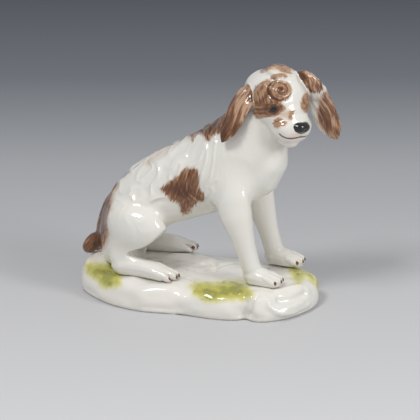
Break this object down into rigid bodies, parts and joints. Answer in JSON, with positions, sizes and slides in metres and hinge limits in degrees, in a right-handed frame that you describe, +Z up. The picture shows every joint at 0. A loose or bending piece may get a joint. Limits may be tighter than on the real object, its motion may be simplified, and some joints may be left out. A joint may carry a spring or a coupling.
{
  "type": "porcelain dog figurine",
  "caption": "Seated long-eared spaniel in glazed porcelain with brown painted fur, head turned to its right, on an oval rocky mound base.",
  "frame": {"origin": "middle of the bounding box at the plane of the foot rim that the figure stands on", "axes": "+X the way the dog's body faces, along the longest extent; +Y to the dog's left; +Z up from the resting plane"},
  "size_m": [0.1274, 0.0662, 0.1224],
  "materials": {
    "white_glaze": "white porcelain under a clear glossy glaze, brown enamel fur patches",
    "mound_glaze": "white glossy glaze with small yellow-green moss patches",
    "brown_glaze": "reddish brown enamel brushed as fur under a glossy glaze"
  },
  "bodies": {
    "root": {"base": "mound_glaze", "trunk": "white_glaze", "head": "white_glaze", "ear_right": "brown_glaze", "ear_left": "brown_glaze", "foreleg_right": "white_glaze", "foreleg_left": "white_glaze", "haunch_right": "white_glaze", "haunch_left": "white_glaze", "hind_foot_right": "white_glaze", "hind_foot_left": "white_glaze", "tail": "brown_glaze"}
  },
  "joints": []
}
